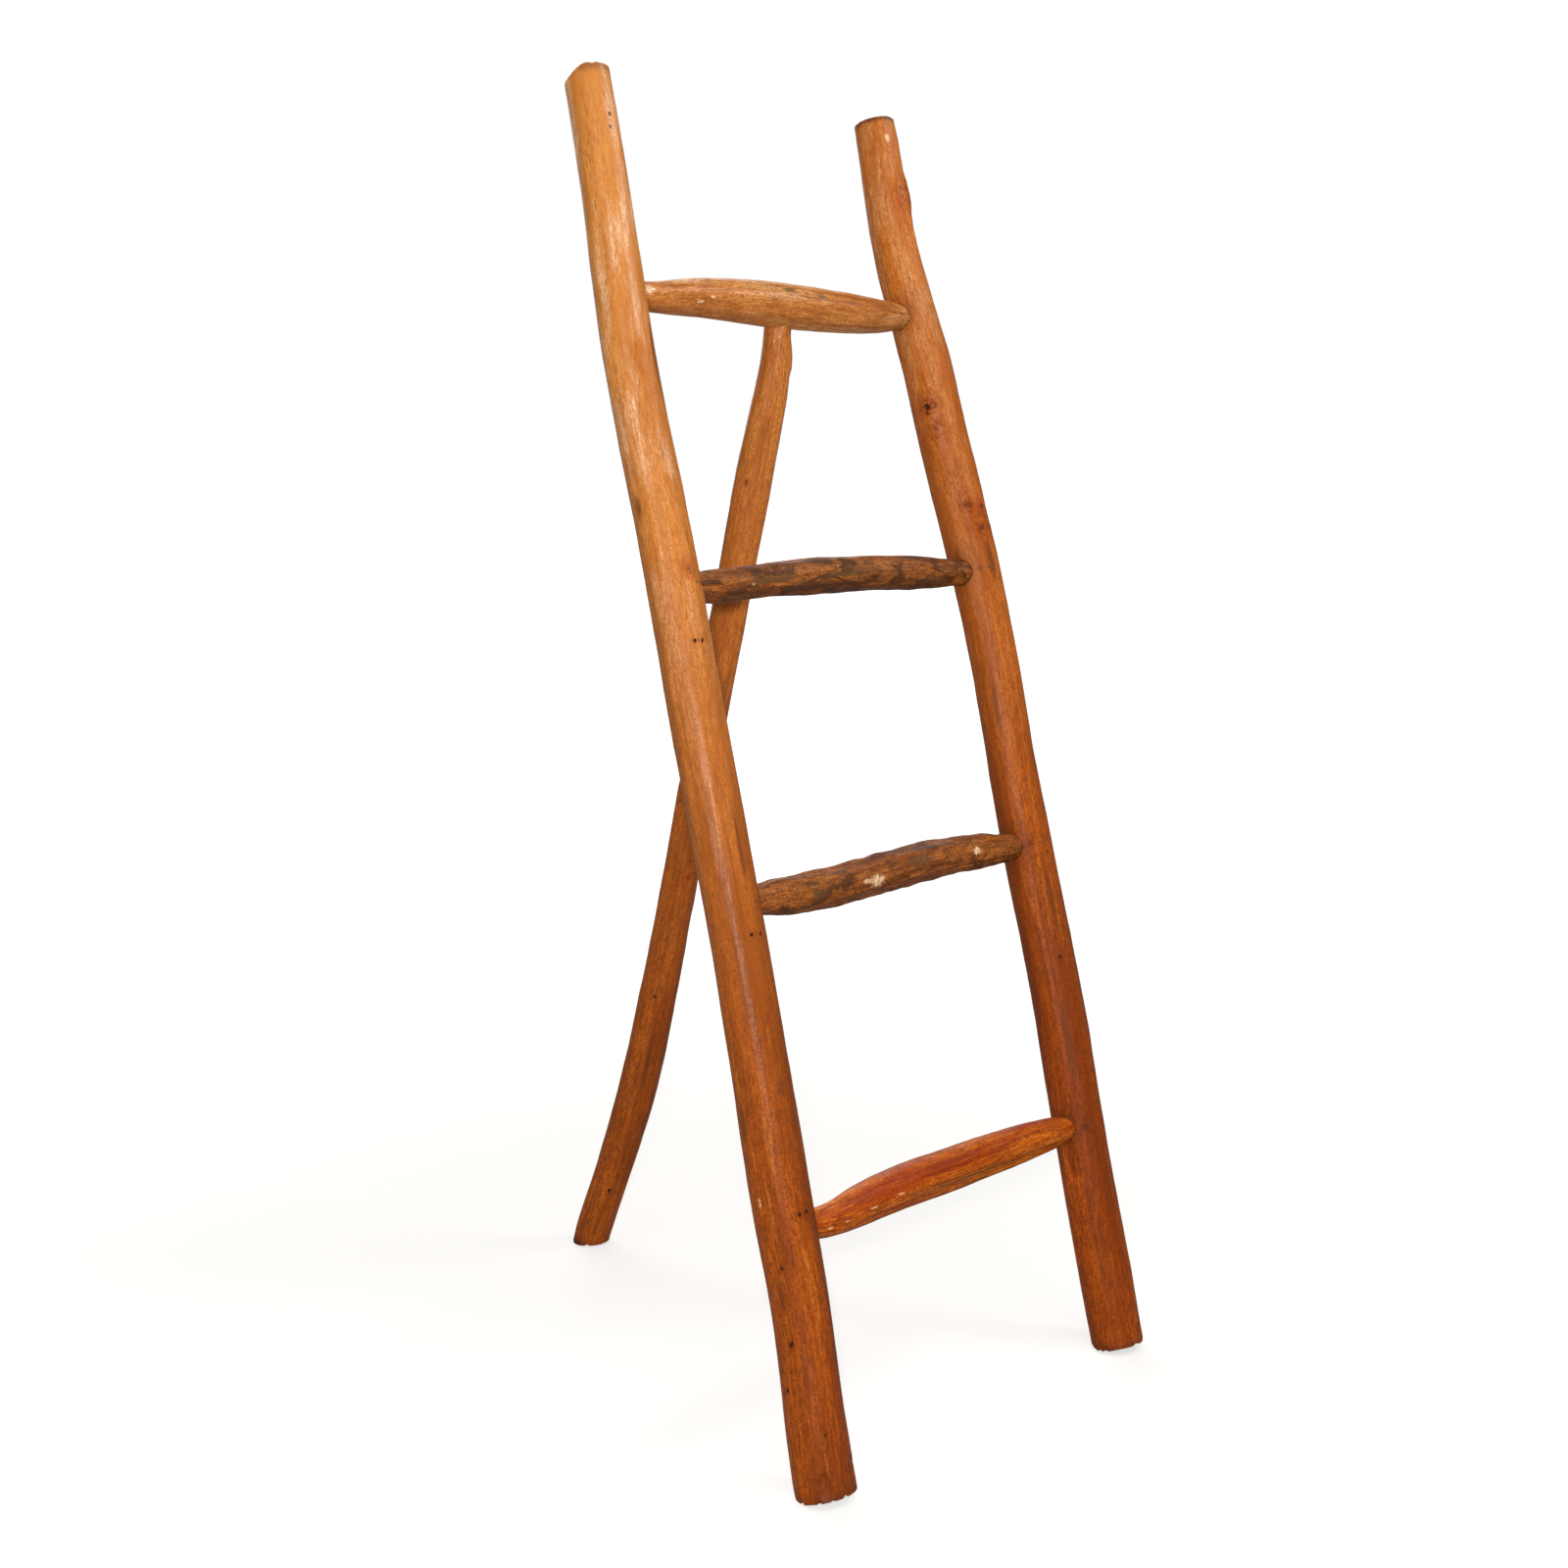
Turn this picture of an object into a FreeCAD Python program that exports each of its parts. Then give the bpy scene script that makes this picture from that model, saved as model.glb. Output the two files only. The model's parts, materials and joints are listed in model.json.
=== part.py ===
"""Branch ladder rack: two leaning rails, three fixed rungs and a top rung that turns with the prop leg.

Row frame: +X runs along the rungs, +Y back towards the prop leg, +Z up. The origin is on the floor, under the
middle of the whole rack's box. Millimetres.
"""
import FreeCAD, Part
import os
import Sketcher

V = FreeCAD.Vector

# Driving dimensions. The ladder pieces are drawn in the ladder's own frame: x along the rungs, y square to
# the ladder towards the back, z up the rails from the floor. The prop leg is drawn in its own frame: z up the
# leg, with 0 on the axis of the top rung.
SIZES = {
    "lean_angle": 15,
    "prop_angle": 17,
    "origin_side": 0.1,
    "origin_back": 381.8,
    "rail_length": 1665,
    "rail_stub": 25,
    "tenon_diameter": 34,
    "running_clearance": 0.08,
    "mortise_end_gap": 1.5,
    "mortise_reach": 70,
    "top_rung_height": 1397,
    "rung_2_height": 1048.5,
    "rung_3_height": 676,
    "rung_4_height": 297,
    "prop_tenon_diameter": 26,
    "prop_tenon_top": 4,
    "prop_shoulder": 27.4,
    "prop_stub": 25,
    "prop_shoulder_diameter": 31,
    "prop_foot_diameter": 48,
    "brad_diameter": 1.8,
    "brad_head_diameter": 3.6,
    "brad_head_thickness": 0.8,
    "brad_tip": 9,
    "left_bevel_side": -255,
    "left_bevel_angle": 36,
    "through_cut": 700,
}

# The size that a sketch is first drawn at, before its expressions set it.
START_RADIUS = 10
# Half the width of the outline that trims the end of a log, and how far past the line it reaches.
TRIM_HALF_WIDTH = 150
TRIM_REACH = 90
# A cut that takes less than this, in cubic millimetres, has to leave a new face behind to count as a cut.
LEAST_CUT = 100

# Sections of each log. A rail's: height, offset along x, offset towards the back, diameter. A rung's:
# distance along x, lift above its tenons' axis, diameter. The prop leg's: as a rail's, down from the hinge.
RAIL_SECTIONS = {
    "left_rail": [
        (80, -278, 0, 70),
        (139, -273.5, 0, 68),
        (209, -269, 0, 68.5),
        (339, -268, 0, 71),
        (559, -262.5, 0, 68),
        (809, -262, 0, 66.5),
        (1059, -260.5, 0, 65),
        (1259, -264.5, 0, 63),
        (1389, -262, 0, 61.5),
        (1529, -254.5, 0, 58.5),
    ],
    "right_rail": [
        (159, 273.5, 0, 69.5),
        (309, 278, 0, 70),
        (509, 282.5, 0, 69.5),
        (709, 279.5, 0, 67),
        (909, 284, 0, 65),
        (1059, 280, 0, 67.5),
        (1189, 268.5, 0, 68),
        (1339, 258.5, 0, 67.5),
        (1459, 242.5, 0, 61),
        (1559, 239, 0, 57.5),
    ],
}
RAIL_ENDS = {
    "left_rail": {"foot": (-282, 0, 69.5), "top": (-251, 0, 54)},
    "right_rail": {"foot": (272, 0, 69), "top": (244.5, 0, 52.5)},
}
RUNG_SECTIONS = {
    "top_rung": [(-228, 0, 34.6), (-150, 3.5, 45.5), (-85, 4, 52.5), (-20, 2.5, 56.5), (45, 1, 56.5),
                 (110, -0.5, 52.5), (175, -1, 44.5), (214, 0, 34.6)],
    "rung_2": [(-226, 0, 34.6), (-145, 2, 40.5), (-75, 4.5, 43.5), (0, 6, 44.5), (70, 6, 43.5),
               (145, 3.5, 44), (200, 1.5, 39), (243, 0, 34.6)],
    "rung_3": [(-226, 0, 34.6), (-147, -3, 46.5), (-79, -2, 49.5), (-5, 1.5, 50.5), (67, 4.5, 49.5),
               (145, 5, 47), (200, 2, 41.5), (243, 0, 34.6)],
    "rung_4": [(-232, 0, 34.6), (-150, 0.5, 46), (-78, 3.5, 51.5), (-5, 3, 52.5), (70, 2.5, 51.5),
               (150, 2, 47.5), (205, 1, 42), (241, 0, 34.6)],
}
PROP_SECTIONS = [
    (-60, 5, -4, 37.5),
    (-170, 8, -6, 46.5),
    (-330, 10, -8, 48),
    (-560, 13, -11, 48),
    (-850, 18, -16, 50),
    (-1035, 19.5, -17.5, 54.5),
    (-1155, 17.5, -15.5, 55.5),
    (-1268, 11.5, -9.5, 52),
    (-1354, 5.5, -3, 51.5),
]
# Where each mortise ends inside its rail, and where the brad crosses its tenon: sideways place and the depth
# of the rail's front face there.
MORTISES = {
    "left_rail": {"top_rung": -270, "rung_2": -268, "rung_3": -268, "rung_4": -276},
    "right_rail": {"top_rung": 255, "rung_2": 285, "rung_3": 284, "rung_4": 283},
}
BRADS = {
    "brad_left_2": ("left_rail", "rung_2", -252, 30.9),
    "brad_left_3": ("left_rail", "rung_3", -253, 31.7),
    "brad_left_4": ("left_rail", "rung_4", -261, 33.6),
    "brad_right_2": ("right_rail", "rung_2", 270, 31.4),
    "brad_right_3": ("right_rail", "rung_3", 269, 31.2),
    "brad_right_4": ("right_rail", "rung_4", 268, 32.9),
}

doc = FreeCAD.newDocument("branch_ladder_rack")
sheet = doc.addObject("Spreadsheet::Sheet", "Sizes")


def cell(alias, value):
    """Adds one named number to the sheet and returns the expression that reads it."""
    cell.row += 1
    sheet.set("A%d" % cell.row, alias)
    sheet.set("B%d" % cell.row, str(value))
    sheet.setAlias("B%d" % cell.row, alias)
    return "Sizes." + alias


cell.row = 0


def size(alias):
    """The expression that reads a driving dimension."""
    return "Sizes." + alias


def origin_plane(body, role):
    """One of a body's own origin planes."""
    return next(f for f in body.Origin.OriginFeatures if f.Role == role)


def sketch_on(body, name, role, across, up, along, angle="0"):
    """An empty sketch on an origin plane, moved by expressions: in its plane, along its normal and turned."""
    sketch = body.newObject("Sketcher::SketchObject", name)
    sketch.AttachmentSupport = [(origin_plane(body, role), "")]
    sketch.MapMode = "FlatFace"
    sketch.setExpression("AttachmentOffset.Base.x", across)
    sketch.setExpression("AttachmentOffset.Base.y", up)
    sketch.setExpression("AttachmentOffset.Base.z", along)
    sketch.setExpression("AttachmentOffset.Rotation.Angle", angle)
    return sketch


def circle_on(body, name, role, across, up, along, diameter):
    """A sketch that holds one circle about its own origin."""
    sketch = sketch_on(body, name, role, across, up, along)
    sketch.addGeometry(Part.Circle(V(0, 0, 0), V(0, 0, 1), START_RADIUS), False)
    sketch.addConstraint(Sketcher.Constraint("Coincident", 0, 3, -1, 1))
    sketch.addConstraint(Sketcher.Constraint("Diameter", 0, 2 * START_RADIUS))
    sketch.renameConstraint(1, "wide")
    sketch.setExpression("Constraints.wide", diameter)
    return sketch


def log_loft(body, role, sections):
    """A smooth log through round sections, each given as four expressions."""
    rings = [
        circle_on(body, "%s_ring_%d" % (body.Name, number), role, across, up, along, diameter)
        for number, (along, across, up, diameter) in enumerate(sections)
    ]
    loft = body.newObject("PartDesign::AdditiveLoft", body.Name + "_log")
    loft.Profile = rings[0]
    loft.Sections = rings[1:]
    loft.Ruled = False
    return loft


def section_cells(name, sections, words=("along", "side", "lift", "diameter")):
    """Puts each section's numbers in the sheet and returns their expressions."""
    return [
        tuple(cell("%s_%s_%d" % (name, word, place), value) for word, value in zip(words, section))
        for place, section in enumerate(sections, 1)
    ]


def removed(body, feature, what):
    """Checks that a cut took material away: a brad's hole is too small for the volume to show."""
    doc.recompute()
    base, left = feature.BaseFeature.Shape, feature.Shape
    if left.Volume > base.Volume - LEAST_CUT and len(left.Faces) <= len(base.Faces):
        raise RuntimeError("%s cut nothing from %s" % (what, body.Label))


def trim(body, name, role, across, up, angle, reach):
    """Cuts away what lies past a line on an origin plane: above it, or below it where reach is negative."""
    sketch = sketch_on(body, name + "_outline", role, across, up, "0", angle)
    left, right = -TRIM_HALF_WIDTH, TRIM_HALF_WIDTH
    corners = [V(left, 0, 0), V(right, 0, 0), V(right, reach, 0), V(left, reach, 0)]
    for start, end in zip(corners, corners[1:] + corners[:1]):
        sketch.addGeometry(Part.LineSegment(start, end), False)
    doc.recompute()
    pocket = body.newObject("PartDesign::Pocket", name)
    pocket.Profile = sketch
    pocket.SideType = "Symmetric"
    pocket.setExpression("Length", size("through_cut"))
    removed(body, pocket, name)


def bore(body, name, role, across, up, along, diameter, length, towards_normal):
    """A round blind hole that starts at its inner end and runs out of the piece."""
    sketch = circle_on(body, name + "_outline", role, across, up, along, diameter)
    doc.recompute()
    pocket = body.newObject("PartDesign::Pocket", name)
    pocket.Profile = sketch
    pocket.Reversed = towards_normal
    pocket.setExpression("Length", length)
    removed(body, pocket, name)


def spigot(body, name, role, across, up, along, diameter, length, towards_normal):
    """A round pad, such as a tenon or the shank of a brad."""
    sketch = circle_on(body, name + "_outline", role, across, up, along, diameter)
    doc.recompute()
    pad = body.newObject("PartDesign::Pad", name)
    pad.Profile = sketch
    pad.Reversed = not towards_normal
    pad.setExpression("Length", length)
    doc.recompute()


def ladder_placement():
    """Stands the ladder's frame on the floor and leans it back."""
    lean = FreeCAD.Rotation(V(1, 0, 0), -float(sheet.get("lean_angle")))
    return FreeCAD.Placement(V(-sheet.get("origin_side"), -sheet.get("origin_back"), 0), lean)


def make_rail(name):
    """A rail: the log, its level foot, its top, four blind mortises and the brad holes."""
    body = doc.addObject("PartDesign::Body", name)
    body.Label = name
    ends = RAIL_ENDS[name]
    foot_side, foot_lift, foot_wide = (cell("%s_foot_%s" % (name, word), value)
                                       for word, value in zip(("side", "lift", "diameter"), ends["foot"]))
    top_side, top_lift, top_wide = (cell("%s_top_%s" % (name, word), value)
                                    for word, value in zip(("side", "lift", "diameter"), ends["top"]))
    sections = [("-" + size("rail_stub"), foot_side, foot_lift, foot_wide)]
    sections += section_cells(name, RAIL_SECTIONS[name])
    sections.append((size("rail_length"), top_side, top_lift, top_wide))
    log_loft(body, "XY_Plane", sections)
    doc.recompute()
    trim(body, name + "_foot_cut", "YZ_Plane", "0", "0", size("lean_angle"), -TRIM_REACH)
    inward = 1 if name == "left_rail" else -1
    for rung, end in MORTISES[name].items():
        wide = size("tenon_diameter")
        if rung == "top_rung":
            wide += " + 2 * " + size("running_clearance")
        bottom = cell("%s_mortise_%s" % (name, rung), end)
        bore(body, "%s_%s_mortise" % (name, rung), "YZ_Plane", "0", size(rung + "_height"), bottom, wide,
             size("mortise_reach"), inward > 0)
    if name == "left_rail":
        trim(body, name + "_bevel", "XZ_Plane", size("left_bevel_side"), size("rail_length"),
             size("left_bevel_angle"), TRIM_REACH)
    return body


def make_rung(name):
    """A fixed rung or the top rung: a spindle-shaped log with a round tenon at each end."""
    body = doc.addObject("PartDesign::Body", name)
    body.Label = name
    height = size(name + "_height")
    sections = section_cells(name, RUNG_SECTIONS[name], ("along", "lift", "diameter"))
    placed = [(along, "0", height + " + " + lift, wide) for along, lift, wide in sections]
    log_loft(body, "YZ_Plane", placed)
    doc.recompute()
    for rail, shoulder, outward in (("left_rail", placed[0][0], -1), ("right_rail", placed[-1][0], 1)):
        gap = size("mortise_end_gap")
        length = "abs(%s - %s) - %s" % (size("%s_mortise_%s" % (rail, name)), shoulder, gap)
        spigot(body, "%s_tenon_%s" % (name, rail), "YZ_Plane", "0", height, shoulder, size("tenon_diameter"),
               length, outward > 0)
    return body


def brad_hole(body, brad, rung):
    """The hole that one brad makes, from its tip out through the front."""
    bore(body, "%s_in_%s" % (brad, body.Name), "XZ_Plane", size(brad + "_side"), size(rung + "_height"),
         "-" + size("brad_tip"), size("brad_diameter"), size("mortise_reach"), True)


def make_brad(name):
    """A round brad with a flat head, driven square to the ladder from the front."""
    body = doc.addObject("PartDesign::Body", name)
    body.Label = name
    rung = BRADS[name][1]
    across, up = size(name + "_side"), size(rung + "_height")
    spigot(body, name + "_shank", "XZ_Plane", across, up, "-" + size("brad_tip"), size("brad_diameter"),
           "%s + %s" % (size("brad_tip"), size(name + "_face")), True)
    spigot(body, name + "_head", "XZ_Plane", across, up, size(name + "_face"), size("brad_head_diameter"),
           size("brad_head_thickness"), True)
    return body


def brad_seat(body, brad, rung):
    """The shallow seat that lets a brad's head down to the rail's surface."""
    bore(body, brad + "_seat", "XZ_Plane", size(brad + "_side"), size(rung + "_height"),
         size(brad + "_face"), size("brad_head_diameter"), size("mortise_reach"), True)


def make_prop_leg():
    """The prop leg, from its tenon in the top rung down to a foot cut level with the floor."""
    reach = "(%s * cos(%s) / cos(%s))" % (size("top_rung_height"), size("lean_angle"), size("prop_angle"))
    body = doc.addObject("PartDesign::Body", "prop_leg")
    body.Label = "prop_leg"
    sections = [("-" + size("prop_shoulder"), "0", "0", size("prop_shoulder_diameter"))]
    sections += section_cells("prop_leg", PROP_SECTIONS)
    sections.append(("-(%s + %s)" % (reach, size("prop_stub")), "0", "0", size("prop_foot_diameter")))
    log_loft(body, "XY_Plane", sections)
    doc.recompute()
    spigot(body, "prop_tenon", "XY_Plane", "0", "0", "-" + size("prop_shoulder"), size("prop_tenon_diameter"),
           "%s - %s" % (size("prop_shoulder"), size("prop_tenon_top")), True)
    trim(body, "prop_foot_cut", "YZ_Plane", "0", "-" + reach, "180 - " + size("prop_angle"), TRIM_REACH)
    return body


def prop_socket(body):
    """The blind mortise in the underside of the top rung, in line with the leaning prop leg."""
    tilt = "90 + %s + %s" % (size("lean_angle"), size("prop_angle"))
    sketch = body.newObject("Sketcher::SketchObject", "prop_socket_outline")
    sketch.AttachmentSupport = [(origin_plane(body, "XZ_Plane"), "")]
    sketch.MapMode = "FlatFace"
    sketch.AttachmentOffset = FreeCAD.Placement(V(0, 0, 0), FreeCAD.Rotation(V(1, 0, 0), 90))
    sketch.setExpression("AttachmentOffset.Base.y", size("top_rung_height"))
    sketch.setExpression("AttachmentOffset.Rotation.Angle", tilt)
    sketch.addGeometry(Part.Circle(V(0, 0, 0), V(0, 0, 1), START_RADIUS), False)
    sketch.addConstraint(Sketcher.Constraint("Coincident", 0, 3, -1, 1))
    sketch.addConstraint(Sketcher.Constraint("Diameter", 0, 2 * START_RADIUS))
    sketch.renameConstraint(1, "wide")
    sketch.setExpression("Constraints.wide", size("prop_tenon_diameter"))
    doc.recompute()
    pocket = body.newObject("PartDesign::Pocket", "prop_socket")
    pocket.Profile = sketch
    pocket.Reversed = True
    pocket.setExpression("Length", size("mortise_reach"))
    removed(body, pocket, "prop_socket")


def checked(pieces):
    """Stops if any object failed to build or any piece isn't one valid solid."""
    for thing in doc.Objects:
        if "Invalid" in thing.State or "Error" in thing.State:
            raise RuntimeError("%s is %s" % (thing.Label, thing.State))
    for piece in pieces:
        shape = piece.Shape
        if shape.isNull() or not shape.isValid() or len(shape.Solids) != 1:
            raise RuntimeError("%s has no single valid solid" % piece.Label)


def main():
    for alias, value in SIZES.items():
        cell(alias, value)
    for brad, (_, _, side, face) in BRADS.items():
        cell(brad + "_side", side)
        cell(brad + "_face", face)
    doc.recompute()
    rails = {name: make_rail(name) for name in RAIL_SECTIONS}
    rungs = {name: make_rung(name) for name in RUNG_SECTIONS}
    prop_socket(rungs["top_rung"])
    prop_leg = make_prop_leg()
    for brad, (rail, rung, _, _) in BRADS.items():
        brad_hole(rungs[rung], brad, rung)
        brad_hole(rails[rail], brad, rung)
        brad_seat(rails[rail], brad, rung)
    brads = [make_brad(name) for name in BRADS]

    ladder = ladder_placement()
    for body in [*rails.values(), *rungs.values(), *brads]:
        body.Placement = ladder
    hinge = ladder.multVec(V(0, 0, sheet.get("top_rung_height")))
    swing = FreeCAD.Rotation(V(1, 0, 0), float(sheet.get("prop_angle")))
    prop_leg.Placement = FreeCAD.Placement(hinge, swing)
    doc.recompute()

    pieces = [*rails.values(), *rungs.values(), *brads, prop_leg]
    checked(pieces)
    os.makedirs("parts", exist_ok=True)
    whole = FreeCAD.BoundBox()
    for piece in pieces:
        piece.Shape.exportStep("parts/%s.step" % piece.Label)
        box = piece.Shape.BoundBox
        whole.add(box)
        print("%-14s %9.0f mm3  x %7.1f %7.1f  y %7.1f %7.1f  z %7.1f %7.1f" % (
            piece.Label, piece.Shape.Volume, box.XMin, box.XMax, box.YMin, box.YMax, box.ZMin, box.ZMax))
    print("whole", whole, "hinge", hinge)


main()
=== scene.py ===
import json
import math

import bpy
import numpy as np
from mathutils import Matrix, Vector
from mathutils.bvhtree import BVHTree

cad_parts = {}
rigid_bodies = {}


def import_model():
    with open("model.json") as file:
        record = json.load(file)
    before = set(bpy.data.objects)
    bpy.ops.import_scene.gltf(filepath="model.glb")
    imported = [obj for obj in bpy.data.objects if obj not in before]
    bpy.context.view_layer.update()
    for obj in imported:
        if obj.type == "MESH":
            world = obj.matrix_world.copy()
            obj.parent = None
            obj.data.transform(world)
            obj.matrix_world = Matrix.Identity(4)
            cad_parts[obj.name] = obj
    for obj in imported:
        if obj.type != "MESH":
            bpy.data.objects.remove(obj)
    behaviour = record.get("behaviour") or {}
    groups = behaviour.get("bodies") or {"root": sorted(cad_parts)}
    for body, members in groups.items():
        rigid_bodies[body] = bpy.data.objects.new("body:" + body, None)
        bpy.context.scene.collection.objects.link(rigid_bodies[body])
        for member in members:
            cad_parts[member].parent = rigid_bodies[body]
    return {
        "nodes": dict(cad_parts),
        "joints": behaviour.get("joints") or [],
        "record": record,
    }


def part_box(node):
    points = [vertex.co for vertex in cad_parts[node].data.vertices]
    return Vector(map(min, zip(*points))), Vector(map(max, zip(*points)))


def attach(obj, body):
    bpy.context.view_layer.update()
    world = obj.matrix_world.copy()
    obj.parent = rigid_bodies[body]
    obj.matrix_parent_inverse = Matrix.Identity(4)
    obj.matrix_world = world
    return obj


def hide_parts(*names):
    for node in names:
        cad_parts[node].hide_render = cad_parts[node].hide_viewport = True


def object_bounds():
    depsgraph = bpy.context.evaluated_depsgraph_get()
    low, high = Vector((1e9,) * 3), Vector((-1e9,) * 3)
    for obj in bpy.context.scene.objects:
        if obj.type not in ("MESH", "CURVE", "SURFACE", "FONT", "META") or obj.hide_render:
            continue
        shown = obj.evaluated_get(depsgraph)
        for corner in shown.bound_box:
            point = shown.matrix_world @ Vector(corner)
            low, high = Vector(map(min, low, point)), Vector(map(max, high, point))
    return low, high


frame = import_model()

MM = 0.001
CAD_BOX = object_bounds()
RECORD = frame["record"]
MOUNTS = {mount["name"]: Vector(mount["pos_m"]) for mount in RECORD["mounts"]}
HINGE = Vector(frame["joints"][0]["pos_m"])

# The ladder's own directions: across the rungs, square to the ladder towards the back, and up the rails.
ACROSS = Vector((1, 0, 0))
FEET_MIDDLE = (MOUNTS["left_foot"] + MOUNTS["right_foot"]) / 2
LADDER_BASE = Vector((0, FEET_MIDDLE.y, 0))
UP_LADDER = (Vector((0, HINGE.y, HINGE.z)) - LADDER_BASE).normalized()
BACK = UP_LADDER.cross(ACROSS)


# ---------------------------------------------------------------- noise

def lattice_noise(points, seed):
    """Smooth gradient noise in about -1 to 1 at each row of points, the same on every run."""
    random = np.random.RandomState(seed)
    order = np.concatenate([random.permutation(256)] * 3)
    slopes = random.normal(size=(256, 3))
    slopes /= np.linalg.norm(slopes, axis=1)[:, None]
    cell = np.floor(points).astype(int)
    inside = points - cell
    fade = inside ** 3 * (inside * (inside * 6 - 15) + 10)
    cell &= 255
    total = np.zeros(len(points))
    for corner in range(8):
        step = np.array([corner & 1, corner >> 1 & 1, corner >> 2 & 1])
        x, y, z = (cell + step).T & 255
        slope = slopes[order[order[order[x] + y] + z]]
        weight = np.prod(np.where(step, fade, 1 - fade), axis=1)
        total += weight * ((inside - step) * slope).sum(axis=1)
    return total * 1.6


def fractal_noise(points, seed, octaves=3, gain=0.5):
    """Several octaves of lattice noise added together."""
    total = np.zeros(len(points))
    size = 1.0
    for octave in range(octaves):
        total += size * lattice_noise(points * 2.03 ** octave, seed + octave)
        size *= gain
    return total


def smooth_step(low, high, value):
    part = np.clip((value - low) / (high - low), 0, 1)
    return part * part * (3 - 2 * part)


def wrapped(angle):
    """An angle difference brought into -pi to pi."""
    return (angle + math.pi) % (2 * math.pi) - math.pi


# ---------------------------------------------------------------- the logs' centre lines

class Spine:
    """The centre line and radius of a log, measured on its CAD node in the log's own directions."""

    STATIONS = 70
    RAYS = 16
    FAR = 0.2

    def __init__(self, node, start, along, side):
        self.start, self.along, self.side = start, along.normalized(), side.normalized()
        self.other = self.along.cross(self.side)
        mesh = frame["nodes"][node].data
        tree = BVHTree.FromPolygons([v.co for v in mesh.vertices], [p.vertices for p in mesh.polygons])
        reach = [(v.co - start).dot(self.along) for v in mesh.vertices]
        self.low, self.high = min(reach), max(reach)
        self.s, rows = [], []
        margin = 4 * MM
        for s in np.linspace(self.low + margin, self.high - margin, self.STATIONS):
            row = self.section(tree, s)
            if row is not None:
                self.s.append(s)
                rows.append(row)
        self.s = np.array(self.s)
        self.x, self.y, self.r = np.array(rows).T

    def section(self, tree, s):
        """Fits a circle to the outside of the node at one station, leaving out rays that enter a hole."""
        middle = self.start + self.along * s
        hits = []
        for turn in np.arange(self.RAYS) * 2 * math.pi / self.RAYS:
            out = self.side * math.cos(turn) + self.other * math.sin(turn)
            hit = tree.ray_cast(middle + out * self.FAR, -out)[0]
            if hit is not None:
                gap = hit - middle
                hits.append((gap.dot(self.side), gap.dot(self.other)))
        hits = np.array(hits)
        if len(hits) < 6:
            return None
        keep = np.ones(len(hits), bool)
        for _ in range(4):
            sums = np.column_stack([hits[keep], np.ones(keep.sum())])
            fit = np.linalg.lstsq(sums, (hits[keep] ** 2).sum(1), rcond=None)[0]
            centre = fit[:2] / 2
            distance = np.linalg.norm(hits - centre, axis=1)
            radius = np.median(distance[keep])
            keep = np.abs(distance - radius) < 0.7 * MM
            if keep.sum() < 5:
                return None
        return (*centre, radius)

    def at(self, s):
        return (np.interp(s, self.s, self.x), np.interp(s, self.s, self.y), np.interp(s, self.s, self.r))

    def point(self, s, x, y):
        """Row-frame points for arrays of distance along and of the two offsets from the straight line."""
        frame_rows = np.array([self.along, self.side, self.other])
        return np.array(self.start) + np.column_stack([s, x, y]) @ frame_rows

    def local(self, points):
        """Distance along, and the two offsets from the curved centre line, for row-frame points."""
        frame_rows = np.array([self.along, self.side, self.other])
        s, x, y = ((points - np.array(self.start)) @ frame_rows.T).T
        cx, cy, _ = self.at(s)
        return s, x - cx, y - cy


# ---------------------------------------------------------------- log meshes

def offsets(s, turn, radius, at, angle, wide, long):
    """How far round and along a log each vertex is from a mark, in the mark's half width and half length."""
    return wrapped(turn - math.radians(angle)) * radius / (wide * MM), (s - at) / (long * MM)


def new_piece(name, points, faces):
    """A mesh object in the scene, made from its points and faces."""
    mesh = bpy.data.meshes.new(name)
    mesh.from_pydata(points, [], faces)
    mesh.update()
    piece = bpy.data.objects.new(name, mesh)
    bpy.context.scene.collection.objects.link(piece)
    return piece


LOBE = 0.012          # how far a log's section is out of round, as a share of its radius
CAP_RINGS = 16        # rings of faces across a sawn end
END_REACH = 6 * MM    # how near a log's end a face still counts as sawn
TENON_PROBE = 6 * MM  # where a tenon's radius is read, measured from its tip
FAR_OFF = 9.0         # the offset stored where no mark is in reach


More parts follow.
